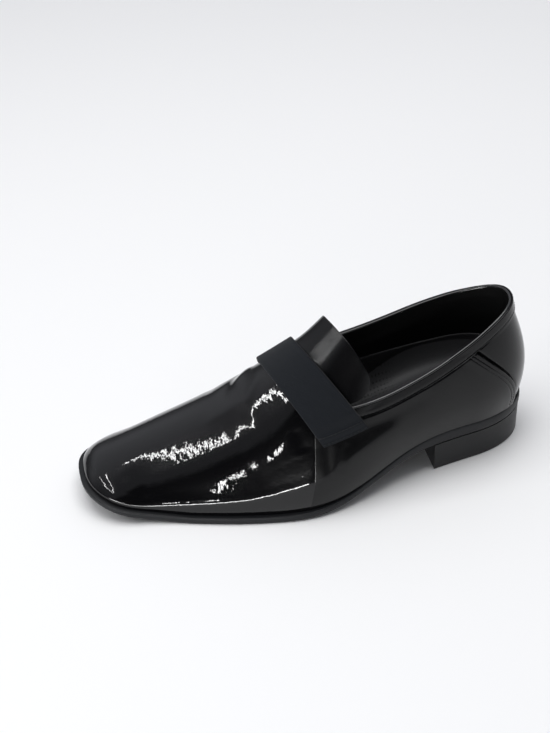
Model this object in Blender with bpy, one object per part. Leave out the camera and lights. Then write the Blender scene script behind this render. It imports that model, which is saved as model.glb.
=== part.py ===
"""Left tuxedo loafer: patent vamp and tongue, quarters with a counter panel, a ribbed strap over the instep.

Metres, +Z up, +X to the toe, +Y to the outer (lateral) side. The shoe stands on z = 0, its box centred on
the origin. Every surface is worked out from the short tables below, in millimetres, a row for each station.
"""
import bpy
import numpy as np

MM = 0.001
GAP = 0.3
WALL = 2.2
COUNTER_STEP = 0.8
BAND_STEP = 0.6
BAND_WIDTH = 7.0
STRAP_THICK = 2.4
TONGUE_THICK = 2.4
TOE_X, BACK_X = 150.0, -145.0
TOE_ROUND, TOE_POWER = 34.0, 2.7
HEEL_ROUND, HEEL_POWER = 42.0, 2.1
BREAST_X = -75.5
HEEL_INSET = 1.3
HEEL_FLARE = 0.7
# Lower edge of the sole: how far it is rounded in, and the share of the thickness where the rounding ends
EDGE_ROUND, EDGE_RISE = 1.0, 0.35
# Fans of rays at the toe and the heel: station where the fan starts, length over which it closes up
TOE_FAN = (70.0, 46.0)
HEEL_FAN = (-55.0, 62.0)
# Share of the wall's height at which the outward swell ends
SWELL_TOP = 0.62
# Station from which the vamp's lines begin to slant toward the throat
SLANT_FROM = 80.0
# Faces that meet at more than this angle keep a sharp edge, in radians
SHARP_ANGLE = 0.7
# Shift that centres the shoe's box on the origin
BOX_X, BOX_Y = -1.6, 0.3

# Sole edge: station, half width on the lateral side, half width on the medial side
OUTLINE = np.array([
    (-145, 25.0, 39.3), (-110, 27.0, 39.8), (-84, 31.0, 37.8), (-56, 36.8, 32.8), (-30, 45.4, 31.3),
    (-8, 52.2, 34.9), (11, 54.6, 43.0), (35, 51.6, 52.0), (60, 45.6, 55.0), (85, 37.6, 54.7),
    (113, 28.4, 51.5), (134, 23.0, 48.6), (150, 17.0, 46.0)])
# Sole: station, height of the underside, thickness
SOLE = np.array([
    (-145, 22.0, 8.0), (-110, 21.6, 7.9), (-75, 21.2, 7.6), (-55, 18.4, 5.9), (-38, 13.3, 5.2),
    (-20, 7.4, 4.9), (-5, 3.4, 4.8), (12, 1.2, 4.8), (30, 0.1, 4.8), (50, -0.4, 4.8),
    (80, -0.3, 4.8), (100, 1.2, 4.7), (125, 5.0, 4.5), (150, 12.0, 4.3)])
# Ledge of the sole outside the upper: station, width
LEDGE = np.array([(-145, 0.9), (-60, 1.0), (-10, 1.7), (30, 2.9), (90, 3.1), (150, 3.1)])
# Closed form of the last: station, crest height, drop to the lateral edge, drop to the medial edge, crest's y
DOME = np.array([
    (-150, 132, 12, 12, -7), (-100, 130, 20, 17, -7), (-60, 123, 28, 22, -5), (-30, 114, 32, 25, -3),
    (-10, 103, 34, 26, -3), (15, 86, 33, 26, -4), (40, 68.5, 32, 25, -7), (70, 52.3, 27, 20, -10),
    (100, 39.8, 20, 14, -13), (125, 30.9, 13, 9, -15), (150, 24.3, 6, 4, -16)])
# Section of the wall: station, exponent of its width, exponent of its height, outward swell
SECTION = np.array([
    (-150, 3.2, 2.0, 5.5), (-100, 3.0, 2.0, 3.6), (-50, 2.6, 2.0, 3.0), (0, 2.8, 1.9, 2.0),
    (40, 3.6, 1.8, 1.2), (90, 4.2, 1.7, 0.8), (150, 4.0, 1.6, 0.8)])
# Topline: station, height on the lateral side, height on the medial side
TOPLINE = np.array([
    (-146, 102.5, 102.5), (-128, 98.0, 95.5), (-100, 86.5, 91.0), (-70, 75.0, 88.5), (-40, 68.5, 85.5),
    (-10, 68.0, 82.0), (20, 69.0, 80.0)])
# Footbed, above the sole: station, thickness in the middle, lateral rim's height, medial rim's height
FOOTBED = np.array([
    (-145, 8.0, 18.0, 20.0), (-100, 8.0, 14.0, 22.0), (-60, 7.5, 13.0, 22.0), (-30, 7.0, 10.0, 15.0),
    (0, 6.0, 7.0, 8.0), (40, 4.0, 4.6, 5.0), (150, 3.2, 3.6, 3.6)])
# Clearance between the footbed's side and the upper's wall, and the power with which its rims rise
FOOTBED_CLEAR, RIM_POWER = 1.8, 6
# Lines across the shoe: station at the sole, how far forward the crest lies, power of the climb between them
INSTEP_FRONT = (-2.0, 27.0, 4.5)
INSTEP_REAR = (-28.0, 30.5, 4.2)
COUNTER_SEAM = (-134.0, 76.0, 2.0)
# Planes that the strap's edges lie in: station at y = 0 and z = 0, slope over y, slope over z
STRAP_FRONT = (-10.1, -0.231, 0.429)
STRAP_REAR = (-47.4, -0.2575, 0.520)
# Heights of the strap's ends at its front edge and at its rear edge, by side (+1 lateral, -1 medial)
STRAP_END_Z = {1: (53.5, 59.5), -1: (62.0, 66.0)}
# Tongue, between the instep's front line (0) and rear line (1): where it leaves the throat and where it ends
TONGUE_ROOT, TONGUE_END = 0.512, 1.98
# Share of its length that the free end gives up toward its sides and at its corners, power of the corners
TONGUE_CROWN, TONGUE_CORNER, CORNER_POWER = 0.15, 0.235, 14
# Tongue's side edges: height over the topline, turn inward from line to line
TONGUE_CLEAR, TONGUE_TAPER = 1.5, 0.10
# Rise of the tongue's free end off the last, and its power
TONGUE_RISE, RISE_POWER = 4.0, 1.4


def spline(table, column, x):
    """Natural cubic spline through one column of a table, read at the stations x."""
    xs, ys, x = table[:, 0], table[:, column], np.asarray(x, float)
    h = np.diff(xs)
    n = len(xs)
    a, b = np.eye(n), np.zeros(n)
    for i in range(1, n - 1):
        a[i, i - 1:i + 2] = h[i - 1], 2 * (h[i - 1] + h[i]), h[i]
        b[i] = 6 * ((ys[i + 1] - ys[i]) / h[i] - (ys[i] - ys[i - 1]) / h[i - 1])
    m = np.linalg.solve(a, b)
    x = np.clip(x, xs[0], xs[-1])
    i = np.clip(np.searchsorted(xs, x) - 1, 0, n - 2)
    d = x - xs[i]
    slope = (ys[i + 1] - ys[i]) / h[i] - h[i] * (2 * m[i] + m[i + 1]) / 6
    return ys[i] + d * slope + m[i] * d ** 2 / 2 + (m[i + 1] - m[i]) * d ** 3 / (6 * h[i])


def ends(x):
    """Factor that rounds the outline off at the toe and at the heel."""
    toe = np.clip((TOE_X - x) / TOE_ROUND, 0, 1)
    heel = np.clip((x - BACK_X) / HEEL_ROUND, 0, 1)
    front = (1 - (1 - toe) ** TOE_POWER) ** (1 / TOE_POWER)
    return front * (1 - (1 - heel) ** HEEL_POWER) ** (1 / HEEL_POWER)


def edge(x, side, inset=0.0):
    """Point of the sole's edge at station x on one side (+1 lateral, -1 medial), moved in by inset."""
    lat, med = spline(OUTLINE, 1, x), spline(OUTLINE, 2, x)
    mid, half = (TOE_X + BACK_X) / 2, (TOE_X - BACK_X) / 2
    g = (x - mid) / half
    half_width = ((lat + med) / 2 - inset) * ends(x)
    return x - inset * np.sign(g) * np.abs(g) ** 6, (lat - med) / 2 + side * half_width


def sole_low(x):
    """Height of the sole's underside; the forepart's dip is cut flat on the ground."""
    return np.maximum(spline(SOLE, 1, x), 0)


def sole_top(x):
    return sole_low(x) + spline(SOLE, 2, x)


def pivot(x):
    """Station of the spine that the ray from outline station x points at: a fan at each end."""
    d, h = np.maximum(x - TOE_FAN[0], 0), np.maximum(HEEL_FAN[0] - x, 0)
    return x - d + d / np.sqrt(1 + (d / TOE_FAN[1]) ** 2) + h - h / np.sqrt(1 + (h / HEEL_FAN[1]) ** 2)


def dome(x, y):
    """Height of the closed last over the point x, y: a crest that falls off to each side."""
    yc = spline(DOME, 4, x)
    lat, med = spline(OUTLINE, 1, x), -spline(OUTLINE, 2, x)
    s = np.where(y > yc, (y - yc) / (lat - yc), (yc - y) / (yc - med))
    return spline(DOME, 1, x) - np.where(y > yc, spline(DOME, 2, x), spline(DOME, 3, x)) * s ** 2


def last(x, side, t):
    """Point of the upper's outer face on the ray of station x, at angle t from the sole (0) to the spine."""
    fx, fy = edge(x, side, spline(LEDGE, 1, x))
    px = pivot(x)
    py = spline(DOME, 4, px)
    rho = np.cos(t) ** (2 / spline(SECTION, 1, x))
    w = np.sin(t) ** (2 / spline(SECTION, 2, x))
    dx, dy = fx - px, fy - py
    bulge = np.sin(np.pi * np.clip(w / SWELL_TOP, 0, 1)) * np.sqrt(np.maximum(1 - w, 0))
    reach = rho + spline(SECTION, 3, x) * bulge / np.hypot(dx, dy)
    xx, yy = px + reach * dx, py + reach * dy
    z0 = sole_top(fx) + GAP
    return np.stack([xx, yy, z0 + (dome(xx, yy) - z0) * w], -1)


def climb(line, t):
    """Station that a line across the shoe has reached at angle t."""
    return line[0] + line[1] * np.sin(t) ** line[2]


def slanted(line, side, t):
    """Point on a line across the shoe: (station at the sole, lead of the crest, power of the climb)."""
    return last(climb(line, t), side, np.broadcast_to(t, np.shape(climb(line, t))))


def angle_at(route, side, height, count):
    """Angle at which each of count routes (stations by angle) reaches a height, which is given by station."""
    low, high = np.zeros(count), np.full(count, np.pi / 2)
    for _ in range(26):
        mid = (low + high) / 2
        x = route(mid)
        under = last(x, side, mid)[..., 2] < height(x)
        low, high = np.where(under, mid, low), np.where(under, high, mid)
    return (low + high) / 2


def topline(side):
    return lambda x: spline(TOPLINE, 1 if side > 0 else 2, x)


def quads(rows, cols, start=0, wrap=False):
    """Faces of a grid of points that is stored row by row."""
    out = []
    for r in range(rows - 1):
        for c in range(cols if wrap else cols - 1):
            d = (c + 1) % cols
            near, far = start + r * cols, start + (r + 1) * cols
            out.append([near + c, near + d, far + d, far + c])
    return out


def weld(points, faces):
    """Joins points that coincide and drops what is left of faces that collapse."""
    key, index, kept = {}, [], []
    for p in points:
        k = tuple(np.round(p, 3) + 0.0)
        if k not in key:
            key[k] = len(kept)
            kept.append(p)
        index.append(key[k])
    out = []
    for f in faces:
        g = [index[v] for v in f]
        g = [v for i, v in enumerate(g) if v != g[i - 1]]
        if len(g) > 2:
            out.append(g)
    return np.array(kept), out, np.array(index)


def normals(points, faces):
    """Normal at each point: the sum of its faces' area normals, made unit length."""
    n = np.zeros_like(points)
    for f in faces:
        p = points[f]
        a = np.cross(p[1] - p[0], p[2] - p[0])
        if len(f) == 4:
            a = a + np.cross(p[2] - p[0], p[3] - p[0])
        n[f] += a
    return n / np.maximum(np.linalg.norm(n, axis=1, keepdims=True), 1e-12)


def close_shell(outer, inner, faces):
    """Closed solid between two sheets of the same faces, with a rim along every open edge."""
    n = len(outer)
    seen = {}
    for f in faces:
        for a, b in zip(f, f[1:] + f[:1]):
            seen[(a, b)] = True
    rim = [[b, a, a + n, b + n] for (a, b) in seen if (b, a) not in seen]
    return np.concatenate([outer, inner]), faces + [[v + n for v in f[::-1]] for f in faces] + rim


def material(name, colour, rough, coat=0.0):
    mat = bpy.data.materials.new(name)
    mat.use_nodes = True
    node = mat.node_tree.nodes["Principled BSDF"]
    node.inputs["Base Color"].default_value = (*colour, 1)
    node.inputs["Roughness"].default_value = rough
    node.inputs["Metallic"].default_value = 0.0
    node.inputs["Coat Weight"].default_value = coat
    return mat


def add(name, points, faces, mat):
    """Named object from points in millimetres."""
    mesh = bpy.data.meshes.new(name)
    mesh.from_pydata((np.asarray(points) * MM).tolist(), [], [list(map(int, f)) for f in faces])
    mesh.materials.append(mat)
    mesh.shade_smooth()
    mesh.set_sharp_from_angle(angle=SHARP_ANGLE)
    mesh.update()
    obj = bpy.data.objects.new(name, mesh)
    bpy.context.scene.collection.objects.link(obj)
    obj.parent = bpy.data.objects["shoe"]
    return obj


def stations(first, last_x, toe_count, step, heel_count):
    """Outline stations from the toe to the heel, closer together round both ends."""
    toe = first - TOE_ROUND * (1 - np.cos(np.linspace(0, np.pi / 2, toe_count)))
    heel = last_x + HEEL_ROUND * (1 - np.sin(np.linspace(0, np.pi / 2, heel_count)))
    count = max(2, int(round((toe[-1] - heel[0]) / step)))
    return np.concatenate([toe, np.linspace(toe[-1], heel[0], count + 1)[1:-1], heel])


def loop_solid(rings):
    """Solid from closed rings, one for each station; the first and last collapse to an edge or are capped."""
    rows, cols = len(rings), len(rings[0])
    points = np.concatenate(rings)
    faces = [f[::-1] for f in quads(rows, cols, wrap=True)]
    faces.append(list(range(cols)))
    faces.append(list(range((rows - 1) * cols, rows * cols))[::-1])
    points, faces, _ = weld(points, faces)
    return points, [f for f in faces if len(set(f)) == len(f)]


def rings_of(x, corners):
    """Ring at each station: up the lateral side and down the medial one, by corners of (inset, height)."""
    sides = []
    for side in (1, -1):
        sides.append([np.stack([*edge(x, side, inset), height], -1) for inset, height in corners])
    return list(np.stack(sides[0] + sides[1][::-1], 1))


def make_outsole(mat):
    """Flat-edged slab between the underside and the top of the sole, its lower edge rounded in."""
    x = stations(TOE_X, BACK_X, 14, 6.0, 14)
    low, top = sole_low(x), sole_top(x)
    corners = [(EDGE_ROUND, low), (0.0, low + EDGE_RISE * (top - low)), (0.0, top)]
    add("outsole", *loop_solid(rings_of(x, corners)), mat)


def make_heel(mat):
    """Block from the floor to the sole, with a straight breast, a little wider at the top."""
    x = BACK_X + (BREAST_X - BACK_X) * (1 - np.sin(np.linspace(0, np.pi / 2, 16))) ** 1.3
    top = sole_low(x) - GAP
    add("heel", *loop_solid(rings_of(x, [(HEEL_INSET, 0 * x), (HEEL_INSET - HEEL_FLARE, top)])), mat)


def between(r):
    """Line across the shoe between the instep's front line (0) and its rear line (1), or past them."""
    return tuple(a + (b - a) * r for a, b in zip(INSTEP_FRONT, INSTEP_REAR))


def round_back(first, count):
    """Stations from one station to the middle of the back, even along the rounded outline."""
    turn = np.arcsin(1 - (first - BACK_X) / HEEL_ROUND)
    return BACK_X + HEEL_ROUND * (1 - np.sin(np.linspace(turn, np.pi / 2, count)))


def make_upper(mat):
    """Vamp, quarters and counter as one shell: lines cross the shoe, columns climb from the sole."""
    throat = between(0.5)
    toe = stations(TOE_X, BACK_X, 12, 6.5, 12)
    toe = toe[toe > throat[0] + 4]
    blend = np.clip((SLANT_FROM - toe) / (SLANT_FROM - throat[0]), 0, 1)
    lead = np.append(throat[1] * blend ** 2 * (3 - 2 * blend), throat[1])
    front = (np.append(toe, throat[0]), lead, np.full(len(toe) + 1, throat[2]))
    k = np.linspace(0, 1, 17)[1:]
    quarter = tuple(a + (b - a) * k ** e for a, b, e in zip(throat, COUNTER_SEAM, (0.95, 1.3, 1.0)))
    # Behind the seam the lines close up round the back, evenly along the sole and along the topline
    low = round_back(COUNTER_SEAM[0] - 0.5, 9)
    high = round_back(COUNTER_SEAM[0] + COUNTER_SEAM[1] / 2 - 0.5, 9)
    counter = (low, (high - low) * 2, np.full(9, COUNTER_SEAM[2]))
    points, faces, steps, rim = [], [], [], []
    line = tuple(np.concatenate(part) for part in zip(front, quarter, counter))
    n_front, n_quarter = len(front[0]), len(quarter[0])
    tops, bands = {}, {}
    for side in (1, -1):
        tops[side] = angle_at(lambda t: climb(line, t), side, topline(side), len(line[0]))
        tops[side][:n_front] = tops[side][n_front - 1]
        under_band = lambda x: topline(side)(x) - BAND_WIDTH
        bands[side] = angle_at(lambda t: climb(line, t), side, under_band, len(line[0]))
        bands[side][:n_front] = np.minimum(bands[side][n_front], tops[side][0] * 0.9)
    # Both sides share their columns at the toe's tip and at the middle of the back
    own = np.clip((TOE_X - line[0]) / 60, 0, 1) * np.append(np.ones(len(line[0]) - 1), 0)
    for side in (1, -1):
        top = own * tops[side] + (1 - own) * (tops[1] + tops[-1]) / 2
        band = own * bands[side] + (1 - own) * (bands[1] + bands[-1]) / 2
        wall = np.linspace(0, 1, 8)[None, :] * band[:, None]
        edge_band = band + 0.10 * (top - band)
        cols = np.concatenate([wall, edge_band[:, None], ((edge_band + top) / 2)[:, None], top[:, None]], 1)
        grid = slanted([v[:, None] for v in line], side, cols)
        height = np.zeros(cols.shape)
        height[n_front + n_quarter:, :8] = -COUNTER_STEP
        height[n_front:, 8:] = BAND_STEP
        start = sum(len(p) for p in points)
        rows, width = cols.shape
        points.append(grid.reshape(-1, 3))
        steps.append(height.reshape(-1))
        rim.append(np.tile(np.arange(width) == 0, rows))
        part = quads(rows, width, start)
        faces += part if side < 0 else [f[::-1] for f in part]
        over = top[:n_front, None] + (np.pi / 2 - top[:n_front, None]) * np.linspace(0, 1, 9)[None, :]
        cap = slanted([v[:, None] for v in front], side, over)
        start += rows * width
        points.append(cap.reshape(-1, 3))
        steps.append(np.zeros(cap.size // 3))
        rim.append(np.zeros(cap.size // 3, bool))
        part = quads(n_front, 9, start)
        faces += part if side < 0 else [f[::-1] for f in part]
    points, steps, rim = np.concatenate(points), np.concatenate(steps), np.concatenate(rim)
    sheet, faces, index = weld(points, faces)
    out = np.zeros(len(sheet))
    foot = np.zeros(len(sheet), bool)
    out[index] = steps
    foot[index] = rim
    n = normals(sheet, faces)
    level = n.copy()
    level[:, 2] = 0
    level /= np.maximum(np.linalg.norm(level, axis=1, keepdims=True), 1e-9)
    n = np.where(foot[:, None], level, n)
    add("upper", *close_shell(sheet + n * out[:, None], sheet - n * WALL, faces), mat)


def sheet_solid(name, grid, low, high, mat):
    """Solid between two offsets of a grid of points, from low to high along the grid's normals."""
    rows, cols = grid.shape[:2]
    points = grid.reshape(-1, 3)
    faces = quads(rows, cols)
    n = normals(points, faces)
    low, high = (np.broadcast_to(v, (rows, cols)).reshape(-1, 1) for v in (low, high))
    add(name, *close_shell(points + n * high, points + n * low, faces), mat)


def strap_station(r, side, t):
    """Station where a plane between the strap's front edge (0) and rear edge (1) cuts the last at angle t."""
    start, by_y, by_z = (a + (b - a) * r for a, b in zip(STRAP_FRONT, STRAP_REAR))
    x = np.zeros(np.broadcast(r, t).shape)
    # Each pass brings the station closer to the plane, since the last slopes less than the plane
    for _ in range(12):
        point = last(x, side, t)
        x = start + by_y * point[..., 1] + by_z * point[..., 2]
    return x


def strap_line(r, side, count):
    """Points of one line along the strap, from its end on one side up to the crest."""
    front, rear = STRAP_END_Z[side]
    low = angle_at(lambda t: strap_station(r, side, t), side, lambda x: front + (rear - front) * r, 1)
    t = np.linspace(low[0], np.pi / 2, count)
    return last(strap_station(r, side, t), side, t)


def make_strap(mat):
    """Band over the instep, from its slanted lateral end over the crest to its medial end."""
    rows = []
    for r in np.linspace(0, 1, 6):
        rows.append(np.concatenate([strap_line(r, 1, 16), strap_line(r, -1, 16)[-2::-1]]))
    sheet_solid("strap", np.array(rows)[::-1], BAND_STEP + GAP, BAND_STEP + GAP + STRAP_THICK, mat)


def tongue_station(r, side, t):
    """Station of the tongue's lines: along the throat at the root, in the strap's planes behind the strap."""
    turn = np.clip((r - TONGUE_ROOT) / (1 - TONGUE_ROOT), 0, 1)
    return climb(between(r), t) * (1 - turn) + strap_station(r, side, t) * turn


def tongue_edge(r, side):
    """Angle of the tongue's side edge: just over the topline under the strap, higher toward the free end."""
    over = lambda x: topline(side)(x) + TONGUE_CLEAR
    low = angle_at(lambda t: tongue_station(r, side, t), side, over, len(r))
    return low + TONGUE_TAPER * np.clip(r - 0.9, 0, 2)


def make_tongue(mat):
    """The tongue goes on from the throat's edge along the last's form, then lifts off it and ends free."""
    v = np.linspace(-1, 1, 23)
    v = np.sign(v) * (1 - (1 - np.abs(v)) ** 1.25)
    end = TONGUE_END * (1 - TONGUE_CROWN * v ** 2 - TONGUE_CORNER * np.abs(v) ** CORNER_POWER)
    rows, rise = [], []
    for u in np.linspace(0, 1, 13):
        r = TONGUE_ROOT + u * (end - TONGUE_ROOT)
        sides = []
        for side in (1, -1):
            t = np.pi / 2 - np.abs(v) * (np.pi / 2 - tongue_edge(r, side))
            sides.append(last(tongue_station(r, side, t), side, t))
        rows.append(np.where(v[:, None] <= 0, *sides))
        rise.append(TONGUE_RISE * np.clip(r - 1, 0, 1) ** RISE_POWER * (1 - v ** 2))
    rise = np.array(rise)[::-1]
    sheet_solid("tongue", np.array(rows)[::-1], rise - TONGUE_THICK, rise, mat)


def make_insole(mat):
    """Cupped footbed: its middle lies over the sole and its rims climb round the heel and along the arch."""
    x = stations(TOE_X - 0.6, BACK_X + 0.6, 10, 8.0, 10)
    inset = spline(LEDGE, 1, x) + WALL + FOOTBED_CLEAR
    share = np.array([-1, -0.93, -0.8, -0.6, -0.3, 0, 0.3, 0.6, 0.8, 0.93, 1.0])
    (lx, ly), (mx, my) = edge(x, 1, inset), edge(x, -1, inset)
    low = (sole_top(lx) + GAP)[:, None]
    y = ((ly + my) / 2)[:, None] - share * ((ly - my) / 2)[:, None]
    middle, lateral, medial = (spline(FOOTBED, column, x)[:, None] for column in (1, 2, 3))
    top = low + middle + (np.where(share < 0, lateral, medial) - middle) * np.abs(share) ** RIM_POWER
    y = np.concatenate([y[:, :1], y, y[:, -1:]], axis=1)
    z = np.concatenate([low, top, low], axis=1)
    rings = np.stack([np.broadcast_to(lx[:, None], y.shape), y, z], -1)
    add("insole", *loop_solid(list(rings)), mat)


def main():
    for obj in list(bpy.data.objects):
        bpy.data.objects.remove(obj, do_unlink=True)
    root = bpy.data.objects.new("shoe", None)
    root.location = (BOX_X * MM, BOX_Y * MM, 0)
    bpy.context.scene.collection.objects.link(root)
    patent = material("patent_leather", (0.006, 0.006, 0.007), 0.06, 1.0)
    leather = material("smooth_leather", (0.012, 0.012, 0.013), 0.28)
    ribbed = material("ribbed_cloth", (0.022, 0.026, 0.032), 0.85)
    rubber = material("sole_edge", (0.018, 0.018, 0.02), 0.4)
    sock = material("sock_leather", (0.045, 0.045, 0.05), 0.55)
    make_outsole(rubber)
    make_heel(rubber)
    make_upper(leather)
    make_tongue(patent)
    make_strap(ribbed)
    make_insole(sock)


main()
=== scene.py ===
"""Looks of the left tuxedo loafer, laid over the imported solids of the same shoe.

Every leather, cloth and rubber piece is a surface worked out with numpy from the tables of the last, in
millimetres: station x runs to the toe, y to the outer (lateral) side, z up from the floor. The angle t
climbs the wall of the last from 0 at the sole to a quarter turn at the crest of the instep.
"""
import math

import bpy
import numpy as np
from mathutils import Matrix


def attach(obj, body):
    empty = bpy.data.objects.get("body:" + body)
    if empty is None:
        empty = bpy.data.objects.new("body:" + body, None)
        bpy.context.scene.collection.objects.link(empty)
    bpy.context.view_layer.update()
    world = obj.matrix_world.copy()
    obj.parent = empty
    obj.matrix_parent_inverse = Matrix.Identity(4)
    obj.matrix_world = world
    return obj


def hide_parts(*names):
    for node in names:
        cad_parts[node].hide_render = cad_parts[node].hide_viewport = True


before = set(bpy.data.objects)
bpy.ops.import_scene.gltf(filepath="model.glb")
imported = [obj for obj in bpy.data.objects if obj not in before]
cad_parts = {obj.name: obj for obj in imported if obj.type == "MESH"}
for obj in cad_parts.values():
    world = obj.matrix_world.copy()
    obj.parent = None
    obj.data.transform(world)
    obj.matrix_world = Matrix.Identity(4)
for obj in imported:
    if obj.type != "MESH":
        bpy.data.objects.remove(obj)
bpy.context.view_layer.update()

MM = 0.001
CREST = math.pi / 2
LATERAL, MEDIAL = 1, -1
SIDES = (LATERAL, MEDIAL)
UP, BACKWARD, OUTWARD = np.array([0, 0, 1]), np.array([-1, 0, 0]), np.array([0, 1, 0])
# Shift from the last's stations to the shoe's own frame
SHIFT = np.array([-1.6, 0.3, 0.0])

# The last, as in the solids
GAP = 0.3
WALL = 2.2
TOE_X, BACK_X = 150.0, -145.0
TOE_ROUND, TOE_POWER = 34.0, 2.7
HEEL_ROUND, HEEL_POWER = 42.0, 2.1
BREAST_X = -75.5
HEEL_INSET = 1.3
# An edge that is moved in also leaves the toe and the heel, by this power of the share of the way to them
INSET_POWER = 6
# Past these stations the rays of the last fan out, from a spine that goes on by less than this reach
TOE_FAN_X, TOE_FAN_REACH = 70.0, 46.0
HEEL_FAN_X, HEEL_FAN_REACH = -55.0, 62.0
# Share of the wall's height that swells outward
SWELL_SHARE = 0.62
# Sole edge: station, half width on the lateral side, half width on the medial side
OUTLINE = np.array([
    (-145, 25.0, 39.3), (-110, 27.0, 39.8), (-84, 31.0, 37.8), (-56, 36.8, 32.8), (-30, 45.4, 31.3),
    (-8, 52.2, 34.9), (11, 54.6, 43.0), (35, 51.6, 52.0), (60, 45.6, 55.0), (85, 37.6, 54.7),
    (113, 28.4, 51.5), (134, 23.0, 48.6), (150, 17.0, 46.0)])
# Sole: station, height of the underside, thickness
SOLE = np.array([
    (-145, 22.0, 8.0), (-110, 21.6, 7.9), (-75, 21.2, 7.6), (-55, 18.4, 5.9), (-38, 13.3, 5.2),
    (-20, 7.4, 4.9), (-5, 3.4, 4.8), (12, 1.2, 4.8), (30, 0.1, 4.8), (50, -0.4, 4.8),
    (80, -0.3, 4.8), (100, 1.2, 4.7), (125, 5.0, 4.5), (150, 12.0, 4.3)])
# Ledge of the sole outside the upper: station, width
LEDGE = np.array([(-145, 0.9), (-60, 1.0), (-10, 1.7), (30, 2.9), (90, 3.1), (150, 3.1)])
# Closed form of the last: station, crest height, drop to the lateral edge and to the medial edge, crest's y
DOME = np.array([
    (-150, 132, 12, 12, -7), (-100, 130, 20, 17, -7), (-60, 123, 28, 22, -5), (-30, 114, 32, 25, -3),
    (-10, 103, 34, 26, -3), (15, 86, 33, 26, -4), (40, 68.5, 32, 25, -7), (70, 52.3, 27, 20, -10),
    (100, 39.8, 20, 14, -13), (125, 30.9, 13, 9, -15), (150, 24.3, 6, 4, -16)])
# Section of the wall: station, exponent of its width, exponent of its height, outward swell
SECTION = np.array([
    (-150, 3.2, 2.0, 5.5), (-100, 3.0, 2.0, 3.6), (-50, 2.6, 2.0, 3.0), (0, 2.8, 1.9, 2.0),
    (40, 3.6, 1.8, 1.2), (90, 4.2, 1.7, 0.8), (150, 4.0, 1.6, 0.8)])
# Topline: station, height on the lateral side, height on the medial side
TOPLINE = np.array([
    (-146, 102.5, 102.5), (-128, 98.0, 95.5), (-100, 86.5, 91.0), (-70, 75.0, 88.5), (-40, 68.5, 85.5),
    (-10, 68.0, 82.0), (20, 69.0, 80.0)])
# Lines across the shoe: station at the sole, how far forward the crest lies, power of the climb between them
INSTEP_FRONT = (-2.0, 27.0, 4.5)
INSTEP_REAR = (-28.0, 30.5, 4.2)
COUNTER_SEAM = (-134.0, 76.0, 2.0)
# Planes that the strap's edges lie in: station at y = 0 and z = 0, slope over y, slope over z
STRAP_FRONT = (-10.1, -0.231, 0.429)
STRAP_REAR = (-47.4, -0.2575, 0.520)
# Side seams of the vamp: station at the sole, lead of the crest
VAMP_SEAM = {LATERAL: (13.5, -12.0), MEDIAL: (-34.0, 33.0)}
# Angles between which the vamp's edge leaves the side seam for the throat, hidden by the strap
SEAM_TO_THROAT = (0.80, 1.05)
# Passes of the two searches: a plane's cut with the last, and the angle at which a height is reached
PLANE_PASSES, HALVINGS = 12, 26


def smooth(value, low, high):
    """Soft step from 0 at low to 1 at high: 3 s^2 - 2 s^3 of the share s between them."""
    s = np.clip((value - low) / (high - low), 0, 1)
    return s * s * (3 - 2 * s)


def rounded(distance, radius):
    """Quarter circle: 0 at the edge, 1 from one radius inside it."""
    return np.sqrt(np.maximum(0, 1 - (1 - np.clip(distance / radius, 0, 1)) ** 2))


def bell(distance, reach):
    """Bell curve: 1 at no distance, 1/e at the reach."""
    return np.exp(-np.square(distance / reach))


def spline(table, column, x):
    """Natural cubic spline through one column of a table, read at the stations x."""
    xs, ys, x = table[:, 0], table[:, column], np.asarray(x, float)
    h = np.diff(xs)
    n = len(xs)
    a, b = np.eye(n), np.zeros(n)
    for i in range(1, n - 1):
        a[i, i - 1:i + 2] = h[i - 1], 2 * (h[i - 1] + h[i]), h[i]
        b[i] = 6 * ((ys[i + 1] - ys[i]) / h[i] - (ys[i] - ys[i - 1]) / h[i - 1])
    m = np.linalg.solve(a, b)
    x = np.clip(x, xs[0], xs[-1])
    i = np.clip(np.searchsorted(xs, x) - 1, 0, n - 2)
    d = x - xs[i]
    slope = (ys[i + 1] - ys[i]) / h[i] - h[i] * (2 * m[i] + m[i + 1]) / 6
    return ys[i] + d * slope + m[i] * d ** 2 / 2 + (m[i + 1] - m[i]) * d ** 3 / (6 * h[i])


def ends(x):
    """Factor that rounds the outline off: a superellipse quarter at the toe and one at the heel."""
    toe = np.clip((TOE_X - x) / TOE_ROUND, 0, 1)
    heel = np.clip((x - BACK_X) / HEEL_ROUND, 0, 1)
    front = (1 - (1 - toe) ** TOE_POWER) ** (1 / TOE_POWER)
    return front * (1 - (1 - heel) ** HEEL_POWER) ** (1 / HEEL_POWER)


def edge(x, side, inset=0.0):
    """Point of the sole's edge at station x, moved in by inset: the middle line and half the width."""
    lat, med = spline(OUTLINE, 1, x), spline(OUTLINE, 2, x)
    g = (x - (TOE_X + BACK_X) / 2) / ((TOE_X - BACK_X) / 2)
    y = (lat - med) / 2 + side * ((lat + med) / 2 - inset) * ends(x)
    return x - inset * np.sign(g) * np.abs(g) ** INSET_POWER, y


def sole_low(x):
    """Height of the sole's underside; the forepart's dip is cut flat on the ground."""
    return np.maximum(spline(SOLE, 1, x), 0)


def sole_top(x):
    """Height of the sole's upper face: the underside and the thickness."""
    return sole_low(x) + spline(SOLE, 2, x)


def pivot(x):
    """Station of the spine that the ray from outline station x points at: a fan at both ends."""
    d, h = np.maximum(x - TOE_FAN_X, 0), np.maximum(HEEL_FAN_X - x, 0)
    toe = d / np.sqrt(1 + (d / TOE_FAN_REACH) ** 2)
    return x - d + toe + h - h / np.sqrt(1 + (h / HEEL_FAN_REACH) ** 2)


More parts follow.
